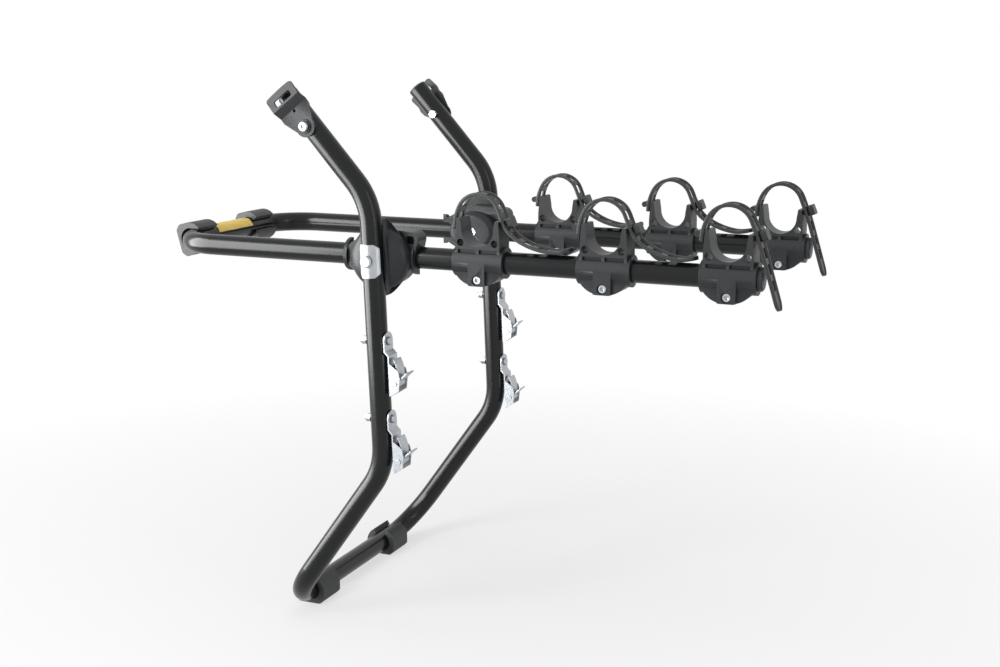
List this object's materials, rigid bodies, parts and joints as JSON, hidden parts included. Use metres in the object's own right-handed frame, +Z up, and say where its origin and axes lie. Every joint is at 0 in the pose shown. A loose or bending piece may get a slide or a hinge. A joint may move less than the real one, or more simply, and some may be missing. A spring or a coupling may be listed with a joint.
{
  "type": "strap-on bicycle carrier",
  "caption": "Strap-on rear bicycle carrier: bent upright frame and folding arm frame joined at toothed hubs, with padded crossbars, strap cradles, cam buckles and slotted brackets.",
  "frame": {"origin": "midway between the two lower foot pads, on the plane of their flat faces", "axes": "+X away from the vehicle, the way the arms point; +Y across the carrier, from the left side to the right; +Z up"},
  "size_m": [0.8837, 0.4262, 0.7384],
  "materials": {
    "black_tube": "satin powder coat",
    "pad_rubber": "matte",
    "grey_plate": "satin powder coat",
    "strap_rubber": "satin",
    "hub_plastic": "satin",
    "cradle_plastic": "moulded matte",
    "plug_plastic": "moulded matte",
    "yellow_band": "printed film",
    "dark_washer": "matte",
    "spring_steel": "bright",
    "zinc_steel": "bright zinc"
  },
  "bodies": {
    "upright": {"upright_tube": "black_tube", "leg_plugs": "plug_plastic", "foot_pad_left": "pad_rubber", "foot_pad_right": "pad_rubber", "hub_cup_left": "hub_plastic", "hub_cup_right": "hub_plastic", "saddle_washers": "zinc_steel", "hub_bolts": "zinc_steel", "hub_nuts": "zinc_steel", "bracket_screws": "zinc_steel", "bracket_nuts": "zinc_steel", "bracket_washers": "dark_washer", "buckle_bolts": "zinc_steel", "buckle_nuts": "zinc_steel", "buckle_washers": "zinc_steel"},
    "arms": {"arm_tube": "black_tube", "rest_pad_left": "pad_rubber", "rest_pad_right": "pad_rubber", "marker_band": "yellow_band", "hub_housing_left": "hub_plastic", "hub_housing_right": "hub_plastic", "hub_cap_left": "hub_plastic", "hub_cap_right": "hub_plastic", "arm_plugs": "plug_plastic", "cradle_screws": "zinc_steel", "cradle_nuts": "zinc_steel", "cradle_1_left": "cradle_plastic", "strap_1_left": "strap_rubber", "cradle_1_right": "cradle_plastic", "strap_1_right": "strap_rubber", "cradle_2_left": "cradle_plastic", "strap_2_left": "strap_rubber", "cradle_2_right": "cradle_plastic", "strap_2_right": "strap_rubber", "cradle_3_left": "cradle_plastic", "strap_3_left": "strap_rubber", "cradle_3_right": "cradle_plastic", "strap_3_right": "strap_rubber"},
    "bracket_left": {"strap_bracket_left": "grey_plate"},
    "bracket_right": {"strap_bracket_right": "grey_plate"},
    "buckle_upper_left": {"buckle_frame_upper_left": "zinc_steel", "cam_pin_upper_left": "zinc_steel", "cam_spring_upper_left": "spring_steel"},
    "lever_upper_left": {"cam_lever_upper_left": "zinc_steel"},
    "buckle_upper_right": {"buckle_frame_upper_right": "zinc_steel", "cam_pin_upper_right": "zinc_steel", "cam_spring_upper_right": "spring_steel"},
    "lever_upper_right": {"cam_lever_upper_right": "zinc_steel"},
    "buckle_lower_left": {"buckle_frame_lower_left": "zinc_steel", "cam_pin_lower_left": "zinc_steel", "cam_spring_lower_left": "spring_steel"},
    "lever_lower_left": {"cam_lever_lower_left": "zinc_steel"},
    "buckle_lower_right": {"buckle_frame_lower_right": "zinc_steel", "cam_pin_lower_right": "zinc_steel", "cam_spring_lower_right": "spring_steel"},
    "lever_lower_right": {"cam_lever_lower_right": "zinc_steel"}
  },
  "joints": [
    {"name": "arm_fold", "type": "hinge", "parent": "upright", "child": "arms", "pos_m": [0.14305, 0, 0.5118], "axis": [0, 1, 0], "range_deg": [-30, 90]},
    {"name": "bracket_swing_left", "type": "hinge", "parent": "upright", "child": "bracket_left", "pos_m": [0.05751, -0.2036, 0.68138], "axis": [0, 1, 0], "range_deg": [-40, 40]},
    {"name": "bracket_swing_right", "type": "hinge", "parent": "upright", "child": "bracket_right", "pos_m": [0.05751, 0.2036, 0.68138], "axis": [0, 1, 0], "range_deg": [-40, 40]},
    {"name": "buckle_swing_upper_left", "type": "hinge", "parent": "upright", "child": "buckle_upper_left", "pos_m": [0.16178, -0.1875, 0.40746], "axis": [0.9992, 0, 0.0395], "range_deg": [-25, 5]},
    {"name": "cam_release_upper_left", "type": "hinge", "parent": "buckle_upper_left", "child": "lever_upper_left", "pos_m": [0.17783, -0.1875, 0.35335], "axis": [0, 1, 0], "range_deg": [0, 50], "stiffness_Nm_per_rad": 0.05, "springref_deg": -11.46},
    {"name": "buckle_swing_upper_right", "type": "hinge", "parent": "upright", "child": "buckle_upper_right", "pos_m": [0.16178, 0.1875, 0.40746], "axis": [0.9992, 0, 0.0395], "range_deg": [-5, 25]},
    {"name": "cam_release_upper_right", "type": "hinge", "parent": "buckle_upper_right", "child": "lever_upper_right", "pos_m": [0.17783, 0.1875, 0.35335], "axis": [0, 1, 0], "range_deg": [0, 50], "stiffness_Nm_per_rad": 0.05, "springref_deg": -11.46},
    {"name": "buckle_swing_lower_left", "type": "hinge", "parent": "upright", "child": "buckle_lower_left", "pos_m": [0.16589, -0.1875, 0.30354], "axis": [0.9992, 0, 0.0395], "range_deg": [-25, 5]},
    {"name": "cam_release_lower_left", "type": "hinge", "parent": "buckle_lower_left", "child": "lever_lower_left", "pos_m": [0.18194, -0.1875, 0.24943], "axis": [0, 1, 0], "range_deg": [0, 50], "stiffness_Nm_per_rad": 0.05, "springref_deg": -11.46},
    {"name": "buckle_swing_lower_right", "type": "hinge", "parent": "upright", "child": "buckle_lower_right", "pos_m": [0.16589, 0.1875, 0.30354], "axis": [0.9992, 0, 0.0395], "range_deg": [-5, 25]},
    {"name": "cam_release_lower_right", "type": "hinge", "parent": "buckle_lower_right", "child": "lever_lower_right", "pos_m": [0.18194, 0.1875, 0.24943], "axis": [0, 1, 0], "range_deg": [0, 50], "stiffness_Nm_per_rad": 0.05, "springref_deg": -11.46}
  ]
}
